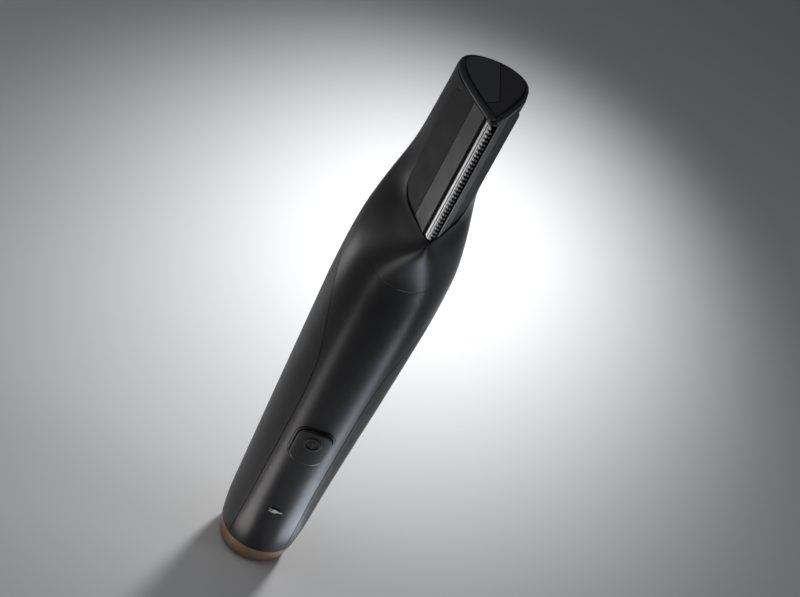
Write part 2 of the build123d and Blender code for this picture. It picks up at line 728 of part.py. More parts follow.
with BuildPart() as head_housing:
    add(OUTER)
    add(INNER, mode=Mode.SUBTRACT)
    add(HEAD_SIDE, mode=Mode.INTERSECT)
    add(HEAD_TOP, mode=Mode.INTERSECT)
    add(STRIP_POCKETS, mode=Mode.SUBTRACT)
    add(PANEL_POCKETS, mode=Mode.SUBTRACT)
    add(slot_prism(SLOT_HALF, SLOT_FOOT), mode=Mode.SUBTRACT)
export(head_housing, "head_housing")

PANEL_LOW = TOWER_FOOT + PANEL_GAP
with BuildPart() as side_panel_right:
    add(panel_block(PANEL_SPLIT + PANEL_GAP, 0.0, PANEL_THICK, 0.0))
    add(HEAD_TOP, mode=Mode.INTERSECT)
export(side_panel_right, "side_panel_right")

with BuildPart() as side_panel_left:
    add(mirror(side_panel_right.part, about=Plane.YZ))
export(side_panel_left, "side_panel_left")

with BuildPart() as satin_strip_right:
    add(strip_block(PANEL_START, PANEL_SPLIT, PANEL_LOW, PANEL_THICK, 0.0))
    add(HEAD_TOP, mode=Mode.INTERSECT)
    add(slot_prism(SLOT_HALF + 0.03, PANEL_LOW), mode=Mode.SUBTRACT)
export(satin_strip_right, "satin_strip_right")

with BuildPart() as satin_strip_left:
    add(mirror(satin_strip_right.part, about=Plane.YZ))
export(satin_strip_left, "satin_strip_left")

with BuildPart() as slot_frame:
    add(slot_prism(SLOT_HALF - 0.02, SLOT_FOOT + 0.02))
    add(slot_prism(SLOT_HALF - 0.02 - FRAME_WALL, SLOT_FOOT + 0.5), mode=Mode.SUBTRACT)
    add(slot_prism(SLOT_HALF, SLOT_FOOT), mode=Mode.INTERSECT)
    add(v_wedge(), mode=Mode.INTERSECT)
    add(HEAD_TOP, mode=Mode.INTERSECT)
export(slot_frame, "slot_frame")

# top cap with an L-shaped parting line
INSERT_DEPTH = 0.85
INSERT_CORNER = (0.9, -10.2)
INSERT_BACK = (2.1, FAR)
INSERT_SIDE = (-FAR * 0.5, -39.0)


def insert_region(shift):
    """Plan region left of the long parting line and behind the short one, shrunk by a shift."""
    with BuildPart() as region:
        with BuildSketch(Plane.XY.offset(100.0)):
            with BuildLine():
                Polyline((INSERT_CORNER[0] - shift, INSERT_CORNER[1] + shift),
                         (INSERT_BACK[0] - shift, INSERT_BACK[1]),
                         (-FAR, INSERT_BACK[1]), (-FAR, INSERT_SIDE[1]),
                         (INSERT_SIDE[0], INSERT_SIDE[1] + shift), close=True)
            make_face()
        extrude(amount=100.0)
    return region.part


CAP_STATION = (170.0, 8.4, 2.2, 9.9, -22.6, 0.12, 9.0)
CAP_NOSE_R = 1.1
CAP_BEVEL = 0.8
CAP_CORNER_Y = 0.5  # in front of this the cap's sides are straight

with BuildPart() as cap_blank:
    with BuildSketch(Plane.XY.offset(150.0)):
        with BuildLine():
            side_points = [p for p in skin_points(CAP_STATION) if p[0] < 0.01 and p[1] > CAP_CORNER_Y]
            nose_y = V_APEX + (CAP_NOSE_R - CAP_STATION[5]) / sin(V_HALF)
            nose_side = (-CAP_NOSE_R * cos(V_HALF), nose_y - CAP_NOSE_R * sin(V_HALF))
            Spline(*side_points, tangents=[(-1, 0), (sin(V_HALF), -cos(V_HALF))])
            Line(side_points[-1], nose_side)
            ThreePointArc(nose_side, (0, nose_y - CAP_NOSE_R), (-nose_side[0], nose_side[1]))
            mirrored = [(-p[0], p[1]) for p in reversed(side_points)]
            Line((-nose_side[0], nose_side[1]), mirrored[0])
            Spline(*mirrored, tangents=[(sin(V_HALF), cos(V_HALF)), (-1, 0)])
        make_face()
    extrude(amount=FAR)
    add(top_slab(0.0, CAP_THICK), mode=Mode.INTERSECT)
    chamfer(cap_blank.faces().sort_by(SortBy.AREA)[-2:].sort_by(Axis.Z)[-1].edges(), CAP_BEVEL)

with BuildPart() as cap_insert:
    add(cap_blank.part)
    add(top_slab(-5.0, INSERT_DEPTH), mode=Mode.INTERSECT)
    add(insert_region(0.07), mode=Mode.INTERSECT)
export(cap_insert, "cap_insert")

with BuildPart() as cap_seat:
    add(top_slab(-5.0, INSERT_DEPTH + 0.03))
    add(insert_region(0.0), mode=Mode.INTERSECT)

with BuildPart() as head_cap:
    add(cap_blank.part)
    add(cap_seat.part, mode=Mode.SUBTRACT)
export(head_cap, "head_cap")

BOSS_DEEP = 4.0
BOSS_FRONT = -2.4
with BuildPart() as cap_boss:
    add(skin(WALL + 0.1, WALL + 0.7))
    add(top_slab(CAP_THICK, CAP_THICK + BOSS_DEEP), mode=Mode.INTERSECT)
    with BuildSketch(Plane.XY.offset(100.0)):
        with Locations((0, BOSS_FRONT - FAR)):
            Rectangle(FAR, 2 * FAR)
    extrude(amount=100.0, mode=Mode.SUBTRACT)
export(cap_boss, "cap_boss")

# ---- head mechanism: frame, lever, comb, cutter ------------------------------------------------------------
FRAME_LOW, FRAME_HIGH = 129.6, 131.4
EAR_IN, EAR_OUT = 2.0, 3.6
AXLE_R = 1.45
BORE_R = 1.5
LEVER_HALF = 1.5
FORK_GAP = 2.95  # clear half-width of the fork, wide enough for the crank pin at any angle of lever and crank
FORK_WALL = 1.1
FORK_LOW, FORK_BRIDGE_LOW, FORK_BRIDGE_HIGH = 119.9, 124.7, 127.2
HOOK_X, HOOK_THICK, HOOK_LOW = 8.05, 0.8, 115.3
HOOK_FRONT, HOOK_BACK = 1.5, 5.0
TIP_PIN_R = 0.8
TIP_PIN_END = 2.2
WINDOW_Y, WINDOW_W, WINDOW_D = 2.2, 7.6, 17.0  # opening in the frame for the lever and the crank pin
EAR_FRONT_Y, EAR_BACK_Y, EAR_TOP = 1.6, 10.6, 3.6  # the ears' foot, and their rise over the lever's pivot
HUB_R = 3.2  # lever's hub
WEB_FRONT, WEB_BACK = -2.4, 2.6  # y of the web's foot on the fork's bridge
ARM_HALF_HUB, ARM_HALF_TIP = 2.2, 1.4  # half the height of the lever's arm at the hub and at the tip

with BuildPart() as head_frame:
    add(skin(WALL + 0.06, WALL + 1.0, low=112.0, high=147.0))
    add(slab(FRAME_LOW, FRAME_HIGH), mode=Mode.INTERSECT)
    with BuildSketch(Plane.XY.offset(FRAME_LOW)):
        with Locations((0, WINDOW_Y)):
            RectangleRounded(WINDOW_W, WINDOW_D, 1.5)
    extrude(amount=FRAME_HIGH - FRAME_LOW, mode=Mode.SUBTRACT)
    with BuildSketch(Plane.YZ.offset(EAR_IN)):
        with BuildLine():
            Polyline((EAR_FRONT_Y, FRAME_LOW), (EAR_FRONT_Y + 1.0, LEVER_PIVOT[1]),
                     (LEVER_PIVOT[0], LEVER_PIVOT[1] + EAR_TOP), (EAR_BACK_Y - 1.2, LEVER_PIVOT[1]),
                     (EAR_BACK_Y, FRAME_LOW), close=True)
        make_face()
    extrude(amount=EAR_OUT - EAR_IN)
    mirror(about=Plane.YZ)
    with BuildSketch(Plane.YZ.offset(-EAR_OUT - 1.0)):
        with Locations(LEVER_PIVOT):
            Circle(AXLE_R + 0.01)
    extrude(amount=2 * EAR_OUT + 2.0, mode=Mode.SUBTRACT)
export(head_frame, "head_frame")

with BuildPart() as latch_hooks:
    with BuildSketch(Plane.XZ.offset(-HOOK_BACK)):
        with BuildLine():
            Polyline((HOOK_X, FRAME_LOW), (HOOK_X, HOOK_LOW + 0.6), (HOOK_X + 0.5, HOOK_LOW),
                     (HOOK_X + HOOK_THICK, HOOK_LOW), (HOOK_X + HOOK_THICK, FRAME_LOW), close=True)
        make_face()
    extrude(amount=HOOK_BACK - HOOK_FRONT)
    mirror(about=Plane.YZ)
export(latch_hooks, "latch_hooks")

with BuildPart() as lever_axle:
    with BuildSketch(Plane.YZ.offset(-EAR_OUT - 0.3)):
        with Locations(LEVER_PIVOT):
            Circle(AXLE_R)
    extrude(amount=2 * EAR_OUT + 0.6)
export(lever_axle, "lever_axle")

with BuildPart() as drive_lever:
    with BuildSketch(Plane.YZ.offset(-LEVER_HALF)):
        with Locations(LEVER_PIVOT):
            Circle(HUB_R)
        with BuildLine():
            Polyline((LEVER_PIVOT[0] - 2.6, LEVER_PIVOT[1] + 1.6), (LEVER_PIVOT[0] + 2.9, LEVER_PIVOT[1] - 1.4),
                     (WEB_BACK, FORK_BRIDGE_HIGH - 0.4), (WEB_FRONT, FORK_BRIDGE_HIGH - 0.4), close=True)
        make_face()
        with Locations((0, (FORK_BRIDGE_LOW + FORK_BRIDGE_HIGH) / 2)):
            Rectangle(2 * (FORK_GAP + FORK_WALL), FORK_BRIDGE_HIGH - FORK_BRIDGE_LOW)
        for side in (-1, 1):
            with Locations((side * (FORK_GAP + FORK_WALL / 2), (FORK_LOW + FORK_BRIDGE_HIGH) / 2)):
                Rectangle(FORK_WALL, FORK_BRIDGE_HIGH - FORK_LOW)
    extrude(amount=2 * LEVER_HALF)
    with BuildSketch(Plane.YZ.offset(-LEVER_HALF)):
        with BuildLine():
            Polyline((LEVER_PIVOT[0], LEVER_PIVOT[1] + ARM_HALF_HUB),
                     (LEVER_TIP[0], LEVER_TIP[1] + ARM_HALF_TIP),
                     (LEVER_TIP[0], LEVER_TIP[1] - ARM_HALF_TIP),
                     (LEVER_PIVOT[0], LEVER_PIVOT[1] - ARM_HALF_HUB), close=True)
        make_face()
        with Locations(LEVER_TIP):
            Circle(ARM_HALF_TIP)
    extrude(amount=LEVER_HALF - 0.1)
    with BuildSketch(Plane.YZ.offset(-LEVER_HALF)):
        with Locations(LEVER_TIP):
            Circle(TIP_PIN_R)
    extrude(amount=LEVER_HALF + TIP_PIN_END)
    with BuildSketch(Plane.YZ.offset(-LEVER_HALF)):
        with Locations(LEVER_PIVOT):
            Circle(BORE_R)
    extrude(amount=2 * LEVER_HALF, mode=Mode.SUBTRACT)
export(drive_lever, "drive_lever")

# fixed comb: a strip bent so that its toothed lip lies along the left V face
LIP = Vector(-0.43, 0.903)  # from the tooth tips back along the lip
LIP_NORMAL = Vector(0.903, 0.43)
COMB_THICK = 0.36
COMB_TIP = Vector(0.05, -20.3)
COMB_LEFT = -0.95  # x of the strip's left face behind the bend
COMB_BACK = -5.0
TOOTH_ROOT = -19.0
TOOTH_SLOT = 0.6
COMB_END = COMB_FOOT + TOOTH_COUNT * TOOTH_PITCH
BLADE_GAP = 0.04
CUTTER_THICK = 0.3
NOTCH_FRONT, NOTCH_TOP = -12.4, 141.0
STROKE = 0.8  # the cutter moves this far up and down


def bent_strip(tip, left, thick, back):
    """Plan outline of a strip that runs back from a tip along the lip and then straight back."""
    inner_tip = tip + LIP_NORMAL * thick
    bend = tip + LIP * ((left - tip.X) / LIP.X)
    inner_bend = inner_tip + LIP * ((left + thick - inner_tip.X) / LIP.X)
    return [(tip.X, tip.Y), (bend.X, bend.Y), (left, back), (left + thick, back),
            (inner_bend.X, inner_bend.Y), (inner_tip.X, inner_tip.Y)]


def toothed_strip(outline, foot, end, slot, cap_gap):
    """A bent strip with a slot between each two teeth, notched over the lever and sloped under the cap."""
    with BuildPart() as strip:
        with BuildSketch(Plane.XY.offset(foot)):
            with BuildLine():
                Polyline(*outline, close=True)
            make_face()
        extrude(amount=end - foot)
        middle = COMB_FOOT + TOOTH_PITCH * TOOTH_COUNT / 2
        with BuildSketch(Plane.XZ.offset(-TOOTH_ROOT)):
            with Locations((0, middle)):
                with GridLocations(1, TOOTH_PITCH, 1, TOOTH_COUNT - 1):
                    Rectangle(4.0, slot)
        extrude(amount=4.0, mode=Mode.SUBTRACT)
        with BuildSketch(Plane.XY.offset(foot)):
            with Locations((0, NOTCH_FRONT + FAR / 2)):
                Rectangle(FAR, FAR)
        extrude(amount=NOTCH_TOP - foot, mode=Mode.SUBTRACT)
        add(top_slab(CAP_THICK + cap_gap, FAR), mode=Mode.INTERSECT)
    return strip.part


RIVET_Y = -7.0
RIVET_HEIGHTS = (148.0, 163.0)


def rivet_cutter(radius, left, right):
    """Two round bars across the blade at the rivet places."""
    with BuildPart() as bars:
        for height in RIVET_HEIGHTS:
            with BuildSketch(Plane.YZ.offset(left)):
                with Locations((RIVET_Y, height)):
                    Circle(radius)
            extrude(amount=right - left)
    return bars.part


RIVET_R = 0.8
HOLDER_LEFT, HOLDER_STEP = -2.6, -1.3  # x of the holder's block and of its front lip
HOLDER_LOW, HOLDER_TALL = 143.0, 24.0
HOLDER_FRONT, HOLDER_BACK = -12.4, -3.2
with BuildPart() as fixed_comb:
    add(toothed_strip(bent_strip(COMB_TIP, COMB_LEFT, COMB_THICK, COMB_BACK),
                      COMB_FOOT, COMB_END, TOOTH_SLOT, 0.1))
    add(rivet_cutter(RIVET_R, -5.0, 0.0), mode=Mode.SUBTRACT)
export(fixed_comb, "fixed_comb")

with BuildPart() as comb_holder:
    with BuildSketch(Plane.XY.offset(HOLDER_LOW)):
        with BuildLine():
            Polyline((COMB_LEFT, HOLDER_FRONT), (HOLDER_STEP, HOLDER_FRONT), (HOLDER_STEP, HOLDER_FRONT + 1.6),
                     (HOLDER_LEFT, HOLDER_FRONT + 4.4), (HOLDER_LEFT, HOLDER_BACK), (COMB_LEFT, HOLDER_BACK),
                     close=True)
        make_face()
    extrude(amount=HOLDER_TALL)
    add(rivet_cutter(RIVET_R, -5.0, 0.0), mode=Mode.SUBTRACT)
export(comb_holder, "comb_holder")

with BuildPart() as comb_rivets:
    add(rivet_cutter(RIVET_R, HOLDER_LEFT - 0.3, COMB_LEFT + COMB_THICK))
export(comb_rivets, "comb_rivets")

CUTTER_FOOT, CUTTER_END = COMB_FOOT + 0.9, COMB_END - 0.9
CUTTER_TIP = COMB_TIP + LIP_NORMAL * (COMB_THICK + BLADE_GAP) + LIP * 0.35
with BuildPart() as moving_cutter:
    add(toothed_strip(bent_strip(CUTTER_TIP, COMB_LEFT + COMB_THICK + BLADE_GAP, CUTTER_THICK, -6.0),
                      CUTTER_FOOT, CUTTER_END, 0.6, STROKE + 0.2))
export(moving_cutter, "moving_cutter")

CARRIER_LEFT = COMB_LEFT + COMB_THICK + BLADE_GAP + CUTTER_THICK
CARRIER_LOW, CARRIER_HIGH = 141.5, 165.5
CARRIER_FRONT, CARRIER_BACK = -12.5, -4.2
CARRIER_STEP, CARRIER_RIGHT = 1.1, 2.4  # x of the carrier's front lip and of its block
FOOT_LEFT, FOOT_THICK, FOOT_D, FOOT_TALL = 0.3, 2.1, 4.6, 6.0  # the foot that takes the lever's pin
with BuildPart() as blade_carrier:
    with BuildSketch(Plane.XY.offset(CARRIER_LOW)):
        with BuildLine():
            Polyline((CARRIER_LEFT, CARRIER_FRONT), (CARRIER_STEP, CARRIER_FRONT),
                     (CARRIER_STEP, CARRIER_FRONT + 2.2),
                     (CARRIER_RIGHT, CARRIER_FRONT + 4.5), (CARRIER_RIGHT, CARRIER_BACK),
                     (CARRIER_LEFT, CARRIER_BACK), close=True)
        make_face()
    extrude(amount=CARRIER_HIGH - CARRIER_LOW)
    with BuildSketch(Plane.YZ.offset(FOOT_LEFT)):
        with Locations((LEVER_TIP[0], LEVER_TIP[1] + 1.0)):
            Rectangle(FOOT_D, FOOT_TALL)
        with Locations(LEVER_TIP):
            RectangleRounded(3.0, 2 * (TIP_PIN_R + 0.05), TIP_PIN_R, mode=Mode.SUBTRACT)
    extrude(amount=FOOT_THICK)
export(blade_carrier, "blade_carrier")

SPRING_LOW, SPRING_HIGH = 144.0, 162.0
SPRING_X, SPRING_BOW, SPRING_THICK = 3.0, 0.45, 0.25  # x of the spring's ends, its bow and its thickness
SPRING_FRONT, SPRING_WIDE = 5.0, 2.4
spring_middle = (SPRING_LOW + SPRING_HIGH) / 2
spring_back = SPRING_X + SPRING_THICK
with BuildPart() as blade_spring:
    with BuildSketch(Plane.XZ.offset(SPRING_FRONT)):
        with BuildLine():
            ThreePointArc((SPRING_X, SPRING_LOW), (SPRING_X - SPRING_BOW, spring_middle),
                          (SPRING_X, SPRING_HIGH))
            Line((SPRING_X, SPRING_HIGH), (spring_back, SPRING_HIGH))
            ThreePointArc((spring_back, SPRING_HIGH), (spring_back - SPRING_BOW, spring_middle),
                          (spring_back, SPRING_LOW))
            Line((spring_back, SPRING_LOW), (SPRING_X, SPRING_LOW))
        make_face()
    extrude(amount=SPRING_WIDE)
export(blade_spring, "blade_spring")
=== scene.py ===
import json
from math import cos, pi, radians, sin, tan

import bmesh
import bpy
from mathutils import Matrix, Quaternion, Vector


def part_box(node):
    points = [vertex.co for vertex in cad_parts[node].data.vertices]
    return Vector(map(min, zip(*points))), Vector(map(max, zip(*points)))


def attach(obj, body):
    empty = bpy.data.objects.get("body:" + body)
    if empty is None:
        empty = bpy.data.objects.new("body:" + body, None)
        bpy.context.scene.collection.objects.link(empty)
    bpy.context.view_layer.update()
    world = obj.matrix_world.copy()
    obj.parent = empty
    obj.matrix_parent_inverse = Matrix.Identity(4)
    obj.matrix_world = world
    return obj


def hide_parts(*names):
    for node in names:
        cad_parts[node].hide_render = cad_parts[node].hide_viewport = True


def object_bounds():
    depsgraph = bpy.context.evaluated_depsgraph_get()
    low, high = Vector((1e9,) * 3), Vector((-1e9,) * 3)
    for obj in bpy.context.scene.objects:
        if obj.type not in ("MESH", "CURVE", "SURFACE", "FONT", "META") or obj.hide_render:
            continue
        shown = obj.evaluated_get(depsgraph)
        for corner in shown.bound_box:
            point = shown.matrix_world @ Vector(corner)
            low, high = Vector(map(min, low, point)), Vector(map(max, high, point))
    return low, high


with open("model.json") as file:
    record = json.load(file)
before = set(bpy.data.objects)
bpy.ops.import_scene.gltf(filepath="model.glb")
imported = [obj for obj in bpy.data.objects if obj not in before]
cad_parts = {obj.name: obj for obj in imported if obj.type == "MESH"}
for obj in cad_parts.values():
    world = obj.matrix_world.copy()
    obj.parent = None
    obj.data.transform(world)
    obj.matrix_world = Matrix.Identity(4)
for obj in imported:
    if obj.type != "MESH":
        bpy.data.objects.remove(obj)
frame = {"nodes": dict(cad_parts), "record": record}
CAD_LOW, CAD_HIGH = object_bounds()
MM = 0.001


def box_mm(name):
    """Lowest and highest corner of a CAD node, in millimetres."""
    return [Vector(corner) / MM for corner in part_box(name)]


# ---- materials ----------------------------------------------------------------------------------------------
EDGE_ROUND = 0.00015  # metres over which the shading of an edge is rounded
RELIEF_DEPTH = 0.00002  # metres from the bottom to the top of the grain
SMEAR_SCALE = 260.0  # noise scale of the patches of uneven roughness
COAT_ROUGH = 0.16


def node(tree, kind, **inputs):
    """Add a shader node and set its unlinked sockets by name."""
    made = tree.nodes.new(kind)
    for name, value in inputs.items():
        made.inputs[name.replace("_", " ")].default_value = value
    return made


def noise(tree, coords, scale, detail, rough=0.5, stretch=None):
    """Noise texture in object space, optionally stretched along the axes."""
    made = node(tree, "ShaderNodeTexNoise", Scale=scale, Detail=detail, Roughness=rough)
    if stretch:
        mapping = node(tree, "ShaderNodeMapping", Scale=stretch)
        tree.links.new(coords, mapping.inputs["Vector"])
        coords = mapping.outputs["Vector"]
    tree.links.new(coords, made.inputs["Vector"])
    return made.outputs["Fac"]


def ramp(tree, fac, low, high, start=0.3, end=0.7):
    """Map a 0..1 pattern to a range of values or colours."""
    made = tree.nodes.new("ShaderNodeValToRGB")
    made.color_ramp.elements[0].position = start
    made.color_ramp.elements[1].position = end
    for element, value in zip(made.color_ramp.elements, (low, high)):
        element.color = (*value, 1.0) if isinstance(value, tuple) else (value, value, value, 1.0)
    tree.links.new(fac, made.inputs["Fac"])
    return made.outputs["Color"]


def surface(name, dark, light, rough, spread=0.06, mottle=90.0, grain=4000.0, bump=0.25, stretch=None,
            metallic=0.0, specular=0.5, coat=0.0, transmission=0.0, rounded=0.0):
    """Procedural material: mottled colour, uneven roughness, fine grain and softened edges."""
    material = bpy.data.materials.new(name)
    material.use_nodes = True
    tree = material.node_tree
    shader = tree.nodes["Principled BSDF"]
    shader.inputs["Metallic"].default_value = metallic
    shader.inputs["Specular IOR Level"].default_value = specular
    shader.inputs["Coat Weight"].default_value = coat
    shader.inputs["Coat Roughness"].default_value = COAT_ROUGH
    shader.inputs["Transmission Weight"].default_value = transmission
    coords = tree.nodes.new("ShaderNodeTexCoord").outputs["Object"]
    colour = ramp(tree, noise(tree, coords, mottle, detail=4.0), dark, light)
    tree.links.new(colour, shader.inputs["Base Color"])
    smear = noise(tree, coords, SMEAR_SCALE, detail=5.0, rough=0.6)
    patches = ramp(tree, smear, rough - spread, rough + spread, start=0.25, end=0.75)
    tree.links.new(patches, shader.inputs["Roughness"])
    relief = node(tree, "ShaderNodeBump", Strength=bump, Distance=RELIEF_DEPTH)
    tree.links.new(noise(tree, coords, grain, detail=2.0, stretch=stretch), relief.inputs["Height"])
    if rounded:
        bevel = node(tree, "ShaderNodeBevel", Radius=rounded)
        bevel.samples = 6
        tree.links.new(bevel.outputs["Normal"], relief.inputs["Normal"])
    tree.links.new(relief.outputs["Normal"], shader.inputs["Normal"])
    return material


BRUSHED = (1.0, 1.0, 0.05)  # grain drawn out along the blade

FINISHES = {
    # satin and gloss black mouldings
    "cover_black": dict(dark=(0.0085, 0.0085, 0.0110), light=(0.011, 0.011, 0.0138), rough=0.34,
                        spread=0.03, grain=9000.0, bump=0.10, rounded=EDGE_ROUND),
    "housing_grey": dict(dark=(0.018, 0.0175, 0.0205), light=(0.023, 0.0225, 0.026), rough=0.47,
                         spread=0.04, grain=7000.0, bump=0.3, rounded=EDGE_ROUND),
    "head_black": dict(dark=(0.0085, 0.0085, 0.0105), light=(0.011, 0.011, 0.0132), rough=0.34,
                       spread=0.03, grain=8000.0, bump=0.15, rounded=EDGE_ROUND),
    "rim_black": dict(dark=(0.008, 0.008, 0.009), light=(0.011, 0.011, 0.012), rough=0.22,
                      spread=0.03, grain=9000.0, bump=0.08, rounded=EDGE_ROUND),
    "button_black": dict(dark=(0.009, 0.009, 0.010), light=(0.012, 0.012, 0.013), rough=0.36,
                         spread=0.04, grain=6000.0, bump=0.2, rounded=EDGE_ROUND),
    "cap_black": dict(dark=(0.017, 0.017, 0.0205), light=(0.023, 0.023, 0.0275), rough=0.38,
                      spread=0.04, grain=8000.0, bump=0.2, rounded=EDGE_ROUND),
    "insert_black": dict(dark=(0.036, 0.038, 0.042), light=(0.044, 0.046, 0.050), rough=0.42,
                         spread=0.04, grain=8000.0, bump=0.2, rounded=EDGE_ROUND),
    "neck_black": dict(dark=(0.014, 0.014, 0.015), light=(0.02, 0.02, 0.021), rough=0.5),
    # dull black linings, seals and switches
    # slot_black also colours the cap's painted shade ring
    "slot_black": dict(dark=(0.003, 0.003, 0.003), light=(0.005, 0.005, 0.005), rough=0.7, specular=0.12),
    "seal_rubber": dict(dark=(0.02, 0.02, 0.02), light=(0.03, 0.03, 0.03), rough=0.75),
    "inlet_black": dict(dark=(0.01, 0.01, 0.01), light=(0.016, 0.016, 0.016), rough=0.55),
    "switch_black": dict(dark=(0.015, 0.015, 0.015), light=(0.02, 0.02, 0.02), rough=0.5),
    # panels and strips beside the blade
    "panel_grey": dict(dark=(0.012, 0.012, 0.0135), light=(0.018, 0.018, 0.020), rough=0.55, spread=0.05,
                       grain=5200.0, bump=0.5, stretch=BRUSHED, specular=0.3, rounded=EDGE_ROUND),
    "strip_silver": dict(dark=(0.070, 0.070, 0.071), light=(0.098, 0.098, 0.099), rough=0.44, spread=0.05,
                         grain=5200.0, bump=0.5, stretch=BRUSHED, metallic=0.35, rounded=EDGE_ROUND),
    # near white and bluish: painted highlight for the slot's right edge
    "lip_painted_highlight": dict(dark=(0.86, 0.88, 0.94), light=(0.92, 0.94, 0.98), rough=0.4),
    # steel
    "comb_steel": dict(dark=(0.82, 0.81, 0.80), light=(0.90, 0.89, 0.88), rough=0.36,
                       grain=6000.0, bump=0.35, stretch=(1.0, 1.0, 0.08), metallic=0.6),
    # darker than the other steels: painted shade for the cutter down in the slot
    "cutter_steel": dict(dark=(0.22, 0.22, 0.23), light=(0.30, 0.30, 0.31), rough=0.4, metallic=1.0),
    "spring_steel": dict(dark=(0.45, 0.44, 0.42), light=(0.55, 0.53, 0.50), rough=0.25, metallic=1.0),
    "shaft_steel": dict(dark=(0.55, 0.55, 0.55), light=(0.65, 0.65, 0.65), rough=0.2, metallic=1.0),
    "screw_steel": dict(dark=(0.45, 0.45, 0.46), light=(0.55, 0.55, 0.56), rough=0.25, metallic=1.0),
    "motor_steel": dict(dark=(0.45, 0.45, 0.44), light=(0.55, 0.55, 0.54), rough=0.34, metallic=1.0,
                        stretch=(1.0, 1.0, 20.0)),
    "tab_nickel": dict(dark=(0.55, 0.53, 0.49), light=(0.65, 0.63, 0.58), rough=0.32, metallic=1.0),
    "pin_brass": dict(dark=(0.72, 0.52, 0.22), light=(0.82, 0.62, 0.30), rough=0.28, metallic=1.0),
    # base cap, print and the parts inside
    "base_bronze": dict(dark=(0.30, 0.185, 0.112), light=(0.38, 0.24, 0.15), rough=0.42,
                        spread=0.04, grain=12000.0, bump=0.35, metallic=0.55, rounded=EDGE_ROUND),
    "symbol_white": dict(dark=(0.72, 0.72, 0.72), light=(0.82, 0.82, 0.82), rough=0.5,
                         spread=0.04, grain=9000.0, bump=0.2),
    "chassis_grey": dict(dark=(0.10, 0.105, 0.11), light=(0.13, 0.135, 0.14), rough=0.55),
    "carrier_grey": dict(dark=(0.06, 0.06, 0.062), light=(0.08, 0.08, 0.082), rough=0.5),
    "lever_white": dict(dark=(0.62, 0.60, 0.56), light=(0.70, 0.68, 0.64), rough=0.42),
    "battery_sleeve": dict(dark=(0.02, 0.10, 0.20), light=(0.03, 0.13, 0.25), rough=0.3, coat=0.3),
    "board_green": dict(dark=(0.01, 0.10, 0.04), light=(0.015, 0.13, 0.05), rough=0.35, grain=1200.0),
    "lamp_clear": dict(dark=(0.85, 0.88, 0.85), light=(0.8925, 0.924, 0.8925), rough=0.15,
                       spread=0.04, grain=2500.0, bump=0.1, transmission=0.85),
    "guide_clear": dict(dark=(0.85, 0.87, 0.88), light=(0.8925, 0.9135, 0.924), rough=0.2,
                        spread=0.04, grain=2500.0, bump=0.1, transmission=0.85),
    "floor_pale": dict(dark=(0.74, 0.745, 0.755), light=(0.78, 0.785, 0.79), rough=0.8,
                       spread=0.02, mottle=3.0, grain=60.0, bump=0.02, specular=0.2),
}
MATERIALS = {name: surface(name, **finish) for name, finish in FINISHES.items()}
SLOT_OF = {entry["node"]: entry["material_slot"] for entry in frame["record"]["subparts"]}
for name, piece in frame["nodes"].items():
    for slot in piece.material_slots:
        slot.material = MATERIALS[SLOT_OF[name]]


# ---- mesh helpers (millimetres) -----------------------------------------------------------------------------
ROUND_SIDES = 10


def circle(sides=ROUND_SIDES):
    """Cosine and sine of evenly spaced turns."""
    return [(cos(2 * pi * i / sides), sin(2 * pi * i / sides)) for i in range(sides)]


def skin(rings, looped=False):
    """Closed skin through rings of equal length: flat at both ends, or looped back to the first ring."""
    count = len(rings[0])
    verts = [point for ring in rings for point in ring]
    faces = []
    if not looped:
        faces = [tuple(range(count)), tuple(range(len(verts) - count, len(verts)))]
    for k in range(len(rings) if looped else len(rings) - 1):
        here = k * count
        there = (k + 1) % len(rings) * count
        for i in range(count):
            after = (i + 1) % count
            faces.append((here + i, here + after, there + after, there + i))
    return verts, faces


def prism(outline, low, high):
    """Upright prism over a plan outline."""
    return skin([[(x, y, z) for x, y in outline] for z in (low, high)])


def merge(shapes):
    """One shape from several."""
    verts = []
    faces = []
    for more, sides in shapes:
        first = len(verts)
        faces += [tuple(i + first for i in side) for side in sides]
        verts += more
    return verts, faces


def add_mesh(name, shape, body, slot_name, finish=None, smooth=False):
    """Mesh piece that rides on a body, in its slot's finish or one of its own."""
    verts, faces = shape
    mesh = bpy.data.meshes.new(name)
    mesh.from_pydata([tuple(c * MM for c in v) for v in verts], [], faces)
    shell = bmesh.new()
    shell.from_mesh(mesh)
    bmesh.ops.recalc_face_normals(shell, faces=shell.faces)
    shell.to_mesh(mesh)
    shell.free()
    mesh.materials.append(MATERIALS[finish or slot_name])
    for polygon in mesh.polygons:
        polygon.use_smooth = smooth
    piece = bpy.data.objects.new(name, mesh)
    bpy.context.collection.objects.link(piece)
    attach(piece, body)
    return piece


# ---- blade and slot -----------------------------------------------------------------------------------------
COMB_LOW, COMB_HIGH = box_mm("fixed_comb")
BLADE_LOW = COMB_LOW.z
BLADE_HIGH = COMB_HIGH.z - 0.07  # just under the strip's upper end

V_HALF = radians(24.5)  # lean of each blade-side face from the middle plane
V_APEX = CAD_LOW[1] / MM  # front edge, where the two faces meet

TIP = Vector((-0.28, -20.05))  # plan position of the tooth tips
LIP_LEAN = radians(25.46)  # lean of the comb's lip from the middle plane
BACK_ALONG = Vector((-sin(LIP_LEAN), cos(LIP_LEAN)))  # from the tips back along the lip
OUT = Vector((-cos(LIP_LEAN), -sin(LIP_LEAN)))  # out of the lip's face, to the front left

TOOTH_PITCH = 1.07
TOOTH_COUNT = 31
FIRST_TOOTH = 0.05 + TOOTH_PITCH / 2  # middle of the lowest tooth above the blade's lower end
# each section: distance behind the tip, half height, thickness, depth below the lip's face
TOOTH_SECTIONS = [(0.80, 0.27, 0.34, 0.0), (0.58, 0.28, 0.34, 0.0), (0.36, 0.27, 0.30, 0.02),
                  (0.18, 0.22, 0.24, 0.05), (0.07, 0.15, 0.16, 0.08), (0.02, 0.06, 0.07, 0.12)]

